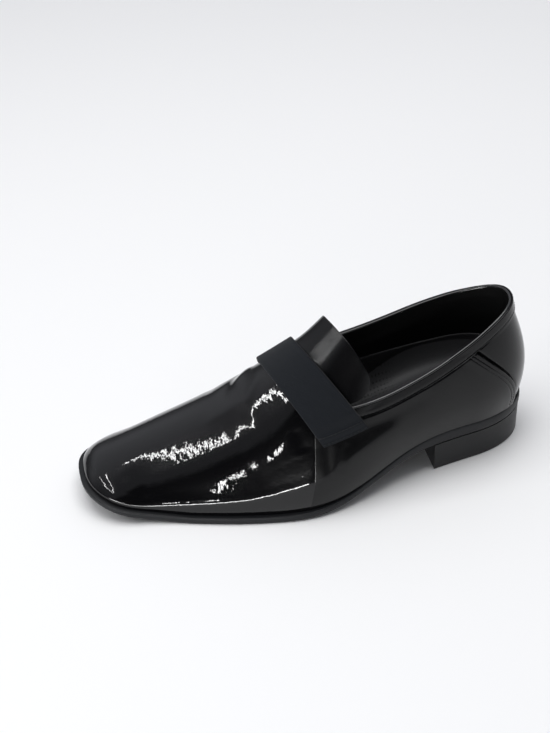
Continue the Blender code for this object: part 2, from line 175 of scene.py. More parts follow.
def dome(x, y):
    """Height of the closed last over the point x, y: a crest that falls off to each side as a parabola."""
    yc = spline(DOME, 4, x)
    lat, med = spline(OUTLINE, 1, x), -spline(OUTLINE, 2, x)
    s = np.where(y > yc, (y - yc) / (lat - yc), (yc - y) / (yc - med))
    return spline(DOME, 1, x) - np.where(y > yc, spline(DOME, 2, x), spline(DOME, 3, x)) * s ** 2


def last(x, side, t):
    """Point of the upper's outer face: a superellipse ray from the sole's edge at station x to the spine."""
    fx, fy = edge(x, side, spline(LEDGE, 1, x))
    px = pivot(x)
    py = spline(DOME, 4, px)
    rho = np.cos(t) ** (2 / spline(SECTION, 1, x))
    w = np.sin(t) ** (2 / spline(SECTION, 2, x))
    dx, dy = fx - px, fy - py
    bulge = np.sin(np.pi * np.clip(w / SWELL_SHARE, 0, 1)) * np.sqrt(np.maximum(1 - w, 0))
    reach = rho + spline(SECTION, 3, x) * bulge / np.hypot(dx, dy)
    xx, yy = px + reach * dx, py + reach * dy
    z0 = sole_top(fx) + GAP
    return np.stack([xx, yy, z0 + (dome(xx, yy) - z0) * w], -1)


def climb(line, t):
    """Station that a line across the shoe has reached at angle t: its lead grows as a power of the sine."""
    return line[0] + line[1] * np.sin(t) ** line[2]


def between(r):
    """Line across the shoe between the instep's front line (0) and its rear line (1), or past them."""
    return tuple(a + (b - a) * r for a, b in zip(INSTEP_FRONT, INSTEP_REAR))


def strap_station(r, side, t):
    """Station where a plane between the strap's front edge (0) and rear edge (1) cuts the last at angle t.

    Each pass puts the point found so far into the plane, which slopes less than the last does.
    """
    start, by_y, by_z = (a + (b - a) * r for a, b in zip(STRAP_FRONT, STRAP_REAR))
    x = np.zeros(np.broadcast(r, t).shape)
    for _ in range(PLANE_PASSES):
        point = last(x, side, t)
        x = start + by_y * point[..., 1] + by_z * point[..., 2]
    return x


def seam(side, t):
    """Station of the vamp's rear edge: the side seam up to the strap, then the throat's line under it."""
    base, lead = VAMP_SEAM[side]
    under = smooth(t, *SEAM_TO_THROAT)
    return (base + lead * np.sin(t)) * (1 - under) + climb(between(0.5), t) * under


def angle_at(route, side, height, count):
    """Angle at which each of count routes over the last reaches a height, found by halving the climb."""
    low, high = np.zeros(count), np.full(count, CREST)
    for _ in range(HALVINGS):
        mid = (low + high) / 2
        x = route(mid)
        under = last(x, side, mid)[..., 2] < height(x)
        low, high = np.where(under, mid, low), np.where(under, high, mid)
    return (low + high) / 2


def height_of(table, side, over=0.0):
    """Height of a table's line on one side, raised by over, as a function of the station."""
    column = 1 if side == LATERAL else 2
    return lambda x: spline(table, column, x) + over


def numbered(grid):
    """Point numbers of a grid of points, row by row."""
    rows, cols = grid.shape[:2]
    return np.arange(rows * cols).reshape(rows, cols)


def quads_of(index):
    """Quads of a 2-D array of point numbers: each cell joins a point to its neighbours along both axes."""
    corners = index[:-1, :-1], index[:-1, 1:], index[1:, 1:], index[1:, :-1]
    return np.stack(corners, -1).reshape(-1, 4)


def tube_of(index):
    """Quads of a 2-D array of point numbers whose last column joins its first."""
    return quads_of(np.concatenate([index, index[:, :1]], axis=1))


def ladder(a, b, turn):
    """Quads between two lines of point numbers that run side by side, turned round where turn is -1."""
    return np.stack([a[:-1], b[:-1], b[1:], a[1:]][::turn], -1)


def normals_of(points, quads):
    """Unit normal at each point: the sum of the crossed diagonals of its quads."""
    c = points[quads]
    n = np.cross(c[:, 2] - c[:, 0], c[:, 3] - c[:, 1])
    total = np.zeros_like(points)
    for corner in range(4):
        np.add.at(total, quads[:, corner], n)
    return total / np.maximum(np.linalg.norm(total, axis=1, keepdims=True), 1e-12)


def grid_normals(grid, toward):
    """Unit normals of a grid of points: the cross product of its two differences.

    All are turned so that the one in the middle of the grid points toward a direction.
    """
    n = np.cross(np.gradient(grid, axis=0), np.gradient(grid, axis=1))
    n = n / np.maximum(np.linalg.norm(n, axis=-1, keepdims=True), 1e-12)
    return n if n[n.shape[0] // 2, n.shape[1] // 2] @ toward > 0 else -n


def lengths(grid, axis):
    """Running length along one axis of a grid of points."""
    steps = np.linalg.norm(np.diff(grid, axis=axis), axis=-1)
    zero = np.zeros_like(np.take(steps, [0], axis=axis))
    return np.concatenate([zero, np.cumsum(steps, axis=axis)], axis=axis)


def from_ends(grid, axis):
    """Length along one axis of a grid from each point to the nearer end."""
    run = lengths(grid, axis)
    return np.minimum(run, np.take(run, [-1], axis=axis) - run)


def closed_sheet(outer, inner, quads):
    """Closed shell between two sheets of the same quads: both faces and a rim along every open edge."""
    n = len(outer)
    a, b = quads.ravel(), np.roll(quads, -1, axis=1).ravel()
    open_edge = ~np.isin(a * n + b, b * n + a)
    a, b = a[open_edge], b[open_edge]
    rim = np.stack([b, a, a + n, b + n], -1)
    return np.concatenate([outer, inner]), np.concatenate([quads, quads[:, ::-1] + n, rim])


def closed_grids(outer, inner):
    """Closed shell between two grids of points."""
    return closed_sheet(outer.reshape(-1, 3), inner.reshape(-1, 3), quads_of(numbered(outer)))


def lined(count, faces):
    """Material numbers of a closed sheet with count quads a side: 1 on its inner face, 0 elsewhere."""
    return np.repeat([0, 1, 0], [count, count, len(faces) - 2 * count])


def crowd(count, pull):
    """Shares from 0 to 1 that crowd together at both ends: a tanh curve."""
    u = np.linspace(-1, 1, count)
    return (1 + np.tanh(pull * u) / np.tanh(pull)) / 2


def crowd_end(count, pull):
    """Shares from 0 to 1 that crowd together toward 1: half a tanh curve."""
    return np.tanh(pull * np.linspace(0, 1, count)) / np.tanh(pull)


def toe_stations(count):
    """Outline stations round the toe: even steps of a quarter circle's angle."""
    return TOE_X - TOE_ROUND * (1 - np.cos(np.linspace(0, CREST, count)))


def stations(count, step):
    """Outline stations from the toe to the heel: count of them round each end and even steps between."""
    toe = toe_stations(count)
    heel = BACK_X + HEEL_ROUND * (1 - np.sin(np.linspace(0, CREST, count)))
    middle = int(round((toe[-1] - heel[0]) / step))
    return np.concatenate([toe, np.linspace(toe[-1], heel[0], middle + 1)[1:-1], heel])


# Faces that meet at more than this angle keep a crisp edge
CUT_EDGE = np.radians(50)
# Name of the map that holds lengths on a piece in millimetres
SIZES = "sizes"


def outward(points, quads):
    """Quads of a closed surface, all turned round if the volume that they enclose comes out negative."""
    a, b, c, d = (points[quads[:, k]] for k in range(4))
    volume = np.sum(np.cross(c - a, d - b) * (a + b + c + d))
    return quads if volume > 0 else quads[:, ::-1]


def put(name, points, quads, mats, nodes=(), face_mat=None, uv=None):
    """Named piece from points in millimetres, which rides on the shoe and may replace its solids."""
    mesh = bpy.data.meshes.new(name)
    quads = outward(points, quads)
    mesh.vertices.add(len(points))
    mesh.vertices.foreach_set("co", ((np.asarray(points) + SHIFT) * MM).astype(np.float32).ravel())
    mesh.loops.add(quads.size)
    mesh.loops.foreach_set("vertex_index", quads.astype(np.int32).ravel())
    mesh.polygons.add(len(quads))
    mesh.polygons.foreach_set("loop_start", np.arange(0, quads.size, 4, dtype=np.int32))
    for mat in mats:
        mesh.materials.append(mat)
    if face_mat is not None:
        mesh.polygons.foreach_set("material_index", np.asarray(face_mat, np.int32))
    if uv is not None:
        layer = mesh.uv_layers.new(name=SIZES)
        layer.uv.foreach_set("vector", np.asarray(uv, np.float32)[quads.ravel()].ravel())
    mesh.update(calc_edges=True)
    mesh.validate()
    mesh.shade_smooth()
    mesh.set_sharp_from_angle(angle=CUT_EDGE)
    obj = bpy.data.objects.new(name, mesh)
    bpy.context.scene.collection.objects.link(obj)
    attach(obj, "root")
    if nodes:
        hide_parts(*nodes)


# Colours of the finishes, in linear light
PATENT_BLACK = (0.002, 0.002, 0.0024)
QUARTER_BLACK = (0.003, 0.0031, 0.0034)
LINING_BLACK = (0.0035, 0.0035, 0.0035)
BEAD_BLACK = (0.008, 0.008, 0.0085)
THREAD_BLACK = (0.009, 0.009, 0.0095)
# Rib colours of the cloth: the valleys are painted darker than the tops, as the shade between the ribs
RIB_VALLEY_SHADE, RIB_TOP = (0.0062, 0.0075, 0.0098), (0.0085, 0.0101, 0.013)
SOLE_BLACK = (0.0086, 0.0092, 0.0108)
HEEL_BLACK = (0.0118, 0.012, 0.013)
# The sock's pinholes are painted near-black, as the shade inside them
SOCK_GREY, HOLE_SHADE = (0.03, 0.03, 0.032), (0.006, 0.006, 0.006)
FLOOR_PALE = (0.9, 0.9, 0.9)
# Darkest mottling of the rubber, as a share of its colour
RUBBER_DARK = 0.8
# Pinholes of the sock: how many to a millimetre, shares of a pitch between which a hole ends, stations where
# the rows begin
HOLES_PER_MM = 0.42
HOLE_EDGE = (0.16, 0.24)
HOLES_BEGIN = (-66.0, -52.0)
# Sockets of a Mix node: factor, its two numbers, its two colours and the mixed colour
MIX_FACTOR, MIX_NUMBERS, MIX_COLOURS, MIXED_COLOUR = 0, (2, 3), (6, 7), 2


def add_node(tree, kind, inputs=None, links=None, **settings):
    """New shader node with its settings, plain inputs and linked inputs."""
    node = tree.nodes.new("ShaderNode" + kind)
    for key, value in settings.items():
        setattr(node, key, value)
    for key, value in (inputs or {}).items():
        node.inputs[key].default_value = value
    for key, socket in (links or {}).items():
        tree.links.new(socket, node.inputs[key])
    return node


class Finish:
    """A Principled material with a short way to add and link nodes."""

    def __init__(self, name, colour, rough, sockets):
        self.mat = bpy.data.materials.new(name)
        self.mat.use_nodes = True
        self.tree = self.mat.node_tree
        self.shader = self.tree.nodes["Principled BSDF"]
        self.rough = rough
        for key, value in {"Base Color": (*colour, 1), "Roughness": rough, **sockets}.items():
            self.shader.inputs[key].default_value = value

    def add(self, *arguments, **settings):
        """New node in this material's tree."""
        return add_node(self.tree, *arguments, **settings)

    def link(self, socket, name):
        """Link from a value to a socket of the shader."""
        self.tree.links.new(socket, self.shader.inputs[name])

    def place(self):
        """Object coordinates, in metres."""
        return self.add("TexCoord").outputs["Object"]

    def lengths_on(self):
        """Lengths on the piece, in millimetres, from its own map."""
        return self.add("UVMap", uv_map=SIZES).outputs["UV"]

    def noise(self, scale, detail):
        """Soft noise with so many waves to a metre and so many finer layers."""
        node = self.add("TexNoise", {"Scale": scale, "Detail": detail}, {"Vector": self.place()})
        return node.outputs["Fac"]

    def spread(self, socket, low, high, first=0.3, final=0.7):
        """The value carried over from first..final to low..high."""
        values = {"From Min": first, "From Max": final, "To Min": low, "To Max": high}
        return self.add("MapRange", values, {"Value": socket}).outputs["Result"]

    def cloud(self, socket, below, above):
        """Roughness that wanders by a value, from so much below the plain one to so much above."""
        self.link(self.spread(socket, self.rough - below, self.rough + above), "Roughness")

    def blend(self, socket, first, second):
        """Base colour that goes from the first colour to the second by a value."""
        colours = {key: (*colour, 1) for key, colour in zip(MIX_COLOURS, (first, second))}
        node = self.add("Mix", colours, {MIX_FACTOR: socket}, data_type="RGBA")
        self.link(node.outputs[MIXED_COLOUR], "Base Color")

    def bump(self, *layers):
        """Bump layers of (height, distance in millimetres, strength), one on top of the other."""
        links = {}
        for height, distance, strength in layers:
            values = {"Distance": distance * MM, "Strength": strength}
            normal = self.add("Bump", values, {"Height": height, **links}).outputs["Normal"]
            links = {"Normal": normal}
        self.link(normal, "Normal")
        return normal


def patent_leather(name, coat, blur, ripples):
    """Bright black patent: a clear coat over black, with faint orange peel and slow ripples."""
    f = Finish(name, PATENT_BLACK, 0.2, {
        "Coat Weight": coat, "Coat Roughness": blur, "Coat IOR": 1.45, "Specular IOR Level": 0.05})
    peel, ripple = f.noise(420, 2.0), f.noise(150, 3.0)
    f.link(f.bump((ripple, ripples, 1.0), (peel, 0.022, 1.0)), "Coat Normal")
    return f.mat


def smooth_leather():
    """Semi-gloss black leather of the quarters: fine pores, a little cloudiness in its gloss."""
    f = Finish("smooth_leather", QUARTER_BLACK, 0.23, {
        "Coat Weight": 0.35, "Coat Roughness": 0.06, "Coat IOR": 1.4, "Specular IOR Level": 0.2})
    f.cloud(f.noise(70, 3.0), 0.04, 0.04)
    pores = f.add("TexVoronoi", {"Scale": 1500.0}, {"Vector": f.place()}).outputs["Distance"]
    f.bump((f.noise(38, 2.0), 0.12, 0.8), (f.noise(110, 3.0), 0.03, 0.8), (pores, 0.01, 0.5))
    return f.mat


def ribbed_cloth():
    """Matte ribbed cloth of the strap: fine ribs across its width, slate black, with a soft sheen; the
    valleys between the ribs are painted darker as shade.
    """
    f = Finish("ribbed_cloth", RIB_TOP, 0.9, {
        "Sheen Weight": 0.08, "Sheen Roughness": 0.5, "Specular IOR Level": 0.12})
    on_cloth = f.lengths_on()

    def bands(axis, scale, wander):
        values = {"Scale": scale, "Distortion": wander, "Detail": 1.0}
        node = f.add("TexWave", values, {"Vector": on_cloth}, wave_type="BANDS", bands_direction=axis)
        return node.outputs["Fac"]

    ribs, threads = bands("X", 0.35, 0.4), bands("Y", 0.9, 0.6)
    # Painted shade: the valleys between the ribs get a darker colour than their tops
    f.blend(ribs, RIB_VALLEY_SHADE, RIB_TOP)
    f.bump((ribs, 0.12, 0.6), (threads, 0.04, 0.5))
    return f.mat


def rubber(name, colour, rough):
    """Satin black rubber: faint mottling, slight scuffs in the gloss."""
    f = Finish(name, colour, rough, {"Specular IOR Level": 0.25})
    f.cloud(f.noise(60, 5.0), 0.06, 0.08)
    f.blend(f.noise(25, 4.0), tuple(RUBBER_DARK * c for c in colour), colour)
    f.bump((f.noise(900, 3.0), 0.02, 0.6))
    return f.mat


def sock_leather():
    """Dark grey sock leather of the footbed, with fine rows of pinholes over its waist, painted near-black
    as the shade inside them.
    """
    f = Finish("sock_leather", SOCK_GREY, 0.5, {"Specular IOR Level": 0.4})
    on_sock = f.lengths_on()
    rows = {"Scale": HOLES_PER_MM, "Randomness": 0.0}
    dots = f.add("TexVoronoi", rows, {"Vector": on_sock}, voronoi_dimensions="2D").outputs["Distance"]
    along = f.add("SeparateXYZ", links={"Vector": on_sock}).outputs["X"]
    hole, waist = f.spread(dots, 1.0, 0.0, *HOLE_EDGE), f.spread(along, 0.0, 1.0, *HOLES_BEGIN)
    holes = f.add("Math", links={0: hole, 1: waist}, operation="MULTIPLY").outputs[0]
    # Painted shade: the pinholes are coloured near-black
    f.blend(holes, SOCK_GREY, HOLE_SHADE)
    deep = f.add("Math", {1: -1.0}, {0: holes}, operation="MULTIPLY").outputs[0]
    f.bump((f.noise(400, 3.0), 0.03, 0.6), (deep, 0.2, 0.8))
    return f.mat


def plain_leather(name, colour, rough, shine):
    """Plain leather of linings, bead and thread: slight grain and cloudiness."""
    f = Finish(name, colour, rough, {"Specular IOR Level": shine})
    f.cloud(f.noise(80, 3.0), 0.06, 0.06)
    f.bump((f.noise(500, 3.0), 0.03, 0.5))
    return f.mat


# Soft creases and ridges of the vamp: height (below 0 for a trough), reach to each side, points of its route
CREASES = (
    # Bulge of the wall just over the sole, from the toe up to the lateral seam
    (0.38, 4.0, ((138, 3, 19), (128, 16.5, 16.4), (110, 24.2, 13.3), (74, 36.4, 14.5), (49, 43.7, 16.8),
                 (30, 47.8, 20.6), (6, 51, 26.5), (-16, 53, 33))),
    # Full wall round the front and the medial corner of the toe
    (1.6, 10.0, ((108, -49, 24), (128, -44, 24), (139, -32, 24), (141, -15, 23.5), (138, 2, 22),
                 (128, 14, 20), (112, 22, 18))),
    # Fold that wanders up the top of the instep to the strap
    (0.55, 3.6, ((70, 1, 50), (55, 3.7, 58), (47, 4.7, 62.4), (41, 6.2, 66), (37, 3.3, 69.5),
                 (32, -1.7, 73.6), (26, -10, 77))),
    # Flex dents on the lateral side of the ball, and the folds between them
    (-0.04, 5.0, ((60, 27, 38), (55, 34, 30), (50, 40, 22))),
    (-0.05, 5.0, ((46, 33, 41), (42, 38, 34), (37, 43, 26))),
    (0.025, 4.0, ((54, 30, 38), (49, 35, 33), (45, 40, 26))),
    (0.025, 4.0, ((38, 34, 43), (34, 38, 38), (30, 43, 30))),
    # Waves across the main shine, below the strap
    (-0.07, 5.5, ((58, 13, 53), (51, 21, 50), (45, 30, 45))),
    (0.05, 4.5, ((50, 12, 60), (45, 19, 56), (41, 26, 52))),
    (-0.08, 5.0, ((43, 11, 65), (38, 19, 60), (34, 28, 54))),
    # Hollow just ahead of the lateral seam
    (-0.4, 4.5, ((16, 34, 60), (14, 39, 53), (12.5, 43, 45))),
    # Waves of the top and the medial side
    (0.7, 4.0, ((46, -12, 65.5), (38, -19, 68), (30, -24, 70))),
    (-0.6, 4.0, ((56, -6, 59.5), (46, -18, 63), (38, -27, 63))),
    (-0.5, 4.5, ((62, -20, 53), (52, -34, 47), (46, -44, 36))),
)
# Soft creases of the quarters beside the strap
QUARTER_CREASES = (
    # The bulge over the sole runs on past the vamp's seam
    CREASES[0],
    # Bulge from the vamp's seam up along the waist, and the hollow between it and the collar
    (0.6, 7.0, ((8, 52, 22), (-1, 50.4, 28.4), (-13, 47.6, 35.4), (-26, 44.5, 40.2), (-38, 41.3, 42.9),
                (-58, 36.5, 46.5))),
    (-0.45, 7.0, ((-6, 43, 51), (-18, 41.7, 51.3), (-34, 38.7, 54.7), (-55, 33.9, 58.8), (-79, 29.7, 64.4))),
    # Puckers below the strap's stitched end
    (-0.16, 3.0, ((-3, 41, 50), (-1.1, 46.9, 38.7), (-2, 50.1, 29.4), (-1, 51, 24))),
    (0.14, 3.0, ((-9, 42.5, 50), (-6.2, 46.8, 39), (-3.7, 48.9, 33.1), (-3, 50.5, 27))),
    (-0.2, 2.8, ((-16, 42, 48), (-12.5, 46, 40.5), (-10, 48.6, 33.5), (-9, 50, 28))),
)
# A crease fades out over this share of its route at both ends, and down to the sole between these heights
CREASE_FADE = 0.2
CREASE_FOOT = (0.5, 4.0)
# Steps of the smooth route from each of its points to the next
ROUTE_STEPS = 8


def smooth_route(route):
    """Points of a natural spline through the route's own points."""
    route = np.array(route, float)
    turns = np.arange(len(route))
    k = np.linspace(0, len(route) - 1, ROUTE_STEPS * (len(route) - 1) + 1)
    return np.stack([spline(np.stack([turns, c], 1), 1, k) for c in route.T], -1)


def from_route(points, path):
    """For each point: its vector from the nearest place of a path, and the share of the path run there."""
    a, ab = path[:-1], np.diff(path, axis=0)
    size = np.linalg.norm(ab, axis=1)
    run = np.concatenate([[0], np.cumsum(size)])
    s = np.clip(np.einsum("nmk,mk->nm", points[:, None] - a, ab) / size ** 2, 0, 1)
    away = points[:, None] - a - s[..., None] * ab
    near = np.einsum("nmk,nmk->nm", away, away).argmin(1)
    pick = np.arange(len(points))
    share = (run[near] + s[pick, near] * size[near]) / run[-1]
    return away[pick, near], share


def crease_lift(points, creases):
    """Height over the last: each crease is a bell of the distance from its route, faded out at both ends."""
    lift = np.zeros(len(points))
    for height, reach, route in creases:
        away, share = from_route(points, smooth_route(route))
        fade = smooth(share, 0, CREASE_FADE) * smooth(1 - share, 0, CREASE_FADE)
        lift += height * np.exp(-np.einsum("nk,nk->n", away, away) / reach ** 2) * fade
    return lift * smooth(points[:, 2] - sole_top(points[:, 0]), *CREASE_FOOT)


VAMP_LIFT = -0.4
# Station where the vamp's rays begin to bend, station of the ray that has bent into the side seam
BEND_START, SEAM_RAY = 80.0, 12.0
# How far the vamp runs on under the quarters
VAMP_UNDER = 3.0


def make_vamp(patent, lining):
    """Patent vamp: rays of the last from the toe to the side seams, from sole to sole over the crest.

    Rays round the toe keep their station. Behind the ball they bend into the seam's line by a soft step.
    """
    toe = toe_stations(44)
    body = np.linspace(toe[-1], SEAM_RAY - VAMP_UNDER, 118)[1:]
    x = np.concatenate([toe, body])[:, None]
    bend = smooth(-x, -BEND_START, -SEAM_RAY)
    t = np.linspace(0, CREST, 92)
    halves = []
    for side in SIDES:
        route = x + bend * (seam(side, t)[None, :] - SEAM_RAY)
        halves.append(last(route, side, np.broadcast_to(t, route.shape)))
    grid = np.concatenate([halves[0], halves[1][:, -2::-1]], axis=1)
    index = numbered(grid)
    # The toe's first ray is shared by both sides
    index[0, len(t):] = index[0, :len(t) - 1][::-1]
    points, quads = grid.reshape(-1, 3), quads_of(index)
    # The rows run backward, so the quads and their normals are turned round to face out
    n = -normals_of(points, quads)
    used, renumbered = np.unique(quads, return_inverse=True)
    points, n, quads = points[used], n[used], renumbered.reshape(quads.shape)[:, ::-1]
    outer = points + n * (VAMP_LIFT + crease_lift(points, CREASES))[:, None]
    shell, faces = closed_sheet(outer, points - n * WALL, quads)
    kinds = lined(len(quads), faces)
    put("vamp", shell, faces, [patent, lining], ["upper"], face_mat=kinds)


# Edge of the collar: distance out from the last's face, height above the topline
RIM = np.array([
    (0.95, -0.55), (0.93, -0.2), (0.80, 0.08), (0.55, 0.2), (0.28, 0.12), (0.08, -0.12), (-0.08, -0.34),
    (-0.24, -0.1), (-0.42, 0.35), (-0.75, 0.75), (-1.2, 0.88), (-1.44, 0.84), (-1.65, 0.72), (-1.98, 0.3),
    (-2.12, -0.3), (-2.2, -1.0)])
# First point of the rim that belongs to the rolled bead
BEAD_START = 6
# Lift of the quarters at their front edge and behind it, and the length of the ramp between them
FRONT_LIFT, QUARTER_LIFT, FRONT_RAMP = -0.34, 0.5, 45.0
# Cut edges of the quarters: lift at the very edge, radius
CUT_LIFT, CUT_ROUND = -0.7, 0.6
# Counter seam: lift of the quarter's edge, lift of the counter, depth and reach of the groove between them
SEAM_LIFT, COUNTER_LIFT, GROOVE_DEPTH, GROOVE_REACH = 0.9, -0.6, 1.4, 1.5
# Distances from the counter seam between which the quarter rises to its edge
SEAM_RAMP = (12.0, 4.0)
# Collar band: width, lift, radius of its lower edge, start of that edge below the line
BAND_WIDTH, BAND_LIFT, BAND_ROUND, BAND_START = 7.0, 0.75, 0.4, 0.05
# Groove under the band: depth, reach, length over which it begins at the front edge
BAND_GROOVE, BAND_GROOVE_REACH, BAND_GROOVE_FADE = 0.25, 0.8, 2.0
# Rows of stitches: distances from the counter seam and from the band's lower edge, groove's depth and reach
COUNTER_ROWS = (2.6, 5.0)
BAND_ROW = 1.3
STITCH_GROOVE, STITCH_REACH = 0.2, 0.5
# Rows over which both sides come to share their columns at the middle of the back
SHARED_ROWS = 8
# Upper edge of the sock leather on the wall inside: station, height on the lateral and medial sides
FLANGE_TOP = np.array([
    (-146, 52, 52), (-120, 50, 53.5), (-90, 45, 54), (-57, 40, 57), (-28, 34, 57), (0, 28, 50),
    (20, 25, 44)])
# Angle of its lower edge, distance from the wall to its back and to its edge, and how far its face swells
FLANGE_FOOT, FLANGE_BACK, FLANGE_EDGE, FLANGE_SWELL = 0.16, 0.15, 0.25, 0.7


class Collar:
    """Grid of the quarters on the last: rows from the lateral front seam round the back to the medial one.

    Rows blend the vamp's seam into the counter seam, and behind that turn evenly round the heel. Columns
    climb from the sole to the lower edge of the collar band and then to the topline.
    """
    quarter = crowd(150, 2.1)
    behind = 1 - crowd_end(46, 1.5)[::-1][1:]
    wall = crowd_end(58, 1.5)
    strip = crowd(16, 1.2)[1:]

    def __init__(self):
        self.seam_row = len(self.quarter) - 1
        self.back_row = self.seam_row + len(self.behind)
        self.far_seam_row = 2 * self.back_row - self.seam_row
        self.band_column = len(self.wall) - 1
        tops = {side: self.angles(side, height_of(TOPLINE, side)) for side in SIDES}
        bands = {side: self.angles(side, height_of(TOPLINE, side, -BAND_WIDTH)) for side in SIDES}
        own = np.clip((self.back_row - np.arange(self.back_row + 1)) / SHARED_ROWS, 0, 1)
        halves = []
        for side in SIDES:
            top, band = (own * a[side] + (1 - own) * (a[LATERAL] + a[MEDIAL]) / 2 for a in (tops, bands))
            rise = (top - band)[:, None] * self.strip
            t = np.concatenate([self.wall * band[:, None], band[:, None] + rise], axis=1)
            halves.append(last(self.route(side, t), side, t))
        self.grid = np.concatenate([halves[0], halves[1][-2::-1]])
        self.n = grid_normals(self.grid, BACKWARD)
        self.measure()
        self.outer = self.grid + self.n * self.relief()[..., None]

    def route(self, side, t):
        """Stations of the rows at the angles t, whose first axis runs over the rows of one side."""
        tall = (-1,) + (1,) * (t.ndim - 1)
        q, c = self.quarter.reshape(tall), self.behind.reshape(tall)
        front = seam(side, t[:q.size])
        rows = front + (climb(COUNTER_SEAM, t[:q.size]) - front) * q
        low, high = (self.round_back(COUNTER_SEAM[0] + lead, c) for lead in (0, COUNTER_SEAM[1] / 2))
        return np.concatenate([rows, low + 2 * (high - low) * np.sin(t[q.size:]) ** 2])

    @staticmethod
    def round_back(first, share):
        """Station at a share of the turn from a first station round to the middle of the back."""
        turn = np.arcsin(1 - (first - BACK_X) / HEEL_ROUND)
        return BACK_X + HEEL_ROUND * (1 - np.sin(turn + (CREST - turn) * share))

    def angles(self, side, height):
        """Angles at which the rows of one side reach a height, which is a function of the station."""
        return angle_at(lambda t: self.route(side, t), side, height, self.back_row + 1)

    def measure(self):
        """Lengths on the grid: from the nearer front edge, to the counter seam, up from the band's line."""
        along, across = lengths(self.grid, 0), lengths(self.grid, 1)
        near, far = along[self.seam_row] - along, along - along[self.far_seam_row]
        self.front = from_ends(self.grid, 0)
        self.to_seam = np.where(np.arange(len(self.grid))[:, None] <= self.back_row, near, far)
        self.on_band = across - across[:, [self.band_column]]

    def relief(self):
        """Lift over the last: round cut edges, a low counter behind a groove, a raised band, stitches."""
        body = FRONT_LIFT + (QUARTER_LIFT - FRONT_LIFT) * smooth(self.front, 0.0, FRONT_RAMP)
        body = body + (SEAM_LIFT - QUARTER_LIFT) * smooth(-self.to_seam, *(-d for d in SEAM_RAMP))
        body = body - STITCH_GROOVE * sum(bell(self.to_seam - d, STITCH_REACH) for d in COUNTER_ROWS)
        body = body + crease_lift(self.grid.reshape(-1, 3), QUARTER_CREASES).reshape(body.shape)
        quarter = CUT_LIFT + (body - CUT_LIFT) * rounded(self.front, CUT_ROUND)
        counter = COUNTER_LIFT - GROOVE_DEPTH * bell(np.minimum(self.to_seam, 0), GROOVE_REACH)
        raised = counter + (quarter - counter) * rounded(self.to_seam, CUT_ROUND)
        panel = np.where(self.to_seam > 0, raised, counter)
        groove = BAND_GROOVE * bell(np.minimum(self.on_band, 0), BAND_GROOVE_REACH)
        panel = panel - groove * smooth(self.front, 0, BAND_GROOVE_FADE)
        band = BAND_LIFT - STITCH_GROOVE * bell(self.on_band - BAND_ROW, STITCH_REACH)
        step = (band - panel) * rounded(self.on_band + BAND_START, BAND_ROUND)
        return panel + step * smooth(self.front, 0, CUT_ROUND)

    def shell(self):
        """Closed shell: up the outer face, over the rim and down inside, with caps along both front edges.

        The last of its three arrays gives each face its material: 0 leather, 1 bead, 2 lining.
        """
        up = np.gradient(self.grid, axis=1)[:, -1]
        up = up / np.linalg.norm(up, axis=-1, keepdims=True)
        rim = self.grid[:, -1:] + self.n[:, -1:] * RIM[:, :1] + up[:, None] * RIM[:, 1:]
        inner = (self.grid - self.n * WALL)[:, ::-1]
        section = np.concatenate([self.outer[:, :-1], rim, inner[:, 1:]], axis=1)
        index = numbered(section)
        first = self.outer.shape[1] - 1
        final = first + len(RIM) - 1
        half = len(RIM) // 2
        kind = np.zeros(section.shape[1], int)
        kind[first + BEAD_START:final] = 1
        kind[final:-1] = 2
        caps = []
        for line, turn in ((index[0], 1), (index[-1], -1)):
            lip = line[first:final + 1]
            caps.append(ladder(line[:first + 1], np.append(line[::-1][:first], line[final]), turn))
            caps.append(ladder(lip[:half], lip[::-1][:half], turn))
        caps = np.concatenate(caps)
        kinds = np.concatenate([np.tile(kind, len(section) - 1), np.zeros(len(caps), int)])
        return section.reshape(-1, 3), np.concatenate([tube_of(index), caps]), kinds

    def sock_flange(self):
        """Thin sheet of sock leather that lines the lower part of the wall inside, up to its own edge."""
        halves = []
        for side in SIDES:
            top = self.angles(side, height_of(FLANGE_TOP, side))
            t = FLANGE_FOOT + (top[:, None] - FLANGE_FOOT) * np.linspace(0, 1, 26)
            halves.append(last(self.route(side, t), side, t))
        # Both halves meet at the middle of the back
        halves[0][-1] = (halves[0][-1] + halves[1][-1]) / 2
        grid = np.concatenate([halves[0], halves[1][-2::-1]])
        n = grid_normals(grid, BACKWARD)
        rise = lengths(grid, 1)
        swell = FLANGE_SWELL * rounded(rise[:, -1:] - rise, FLANGE_SWELL)
        return grid - n * (WALL + FLANGE_EDGE + swell)[..., None], grid - n * (WALL + FLANGE_BACK)


def make_quarters(collar, leather, bead, lining):
    """Quarters and counter as one shell, with a bead along the topline."""
    points, faces, kinds = collar.shell()
    put("quarters", points, faces, [leather, bead, lining], ["upper"], face_mat=kinds)


# Strap: lift of its underside over the last, thickness, radius and thickness of its long edges
STRAP_LIFT, STRAP_THICK, STRAP_ROLL, STRAP_EDGE = 0.9, 2.4, 1.1, 0.2
# Heights of the strap's ends at its front edge and at its rear edge
STRAP_END_Z = {LATERAL: (53.5, 59.5), MEDIAL: (62.0, 66.0)}
# The strap is pressed thin over this length before each end, down to this thickness
PRESS_LENGTH, PRESS_THICK = 9.0, 0.8


def strap_end(r, side):
    """Height of the strap's end between its front edge (0) and its rear edge (1)."""
    front, rear = STRAP_END_Z[side]
    return front + (rear - front) * r


def strap_angle(r, side, height):
    """Angles at which the strap's lines reach the heights, for arrays of the same shape."""
    flat, level = r.ravel(), height.ravel()
    angles = angle_at(lambda t: strap_station(flat, side, t), side, lambda x: level, flat.size)
    return angles.reshape(r.shape)


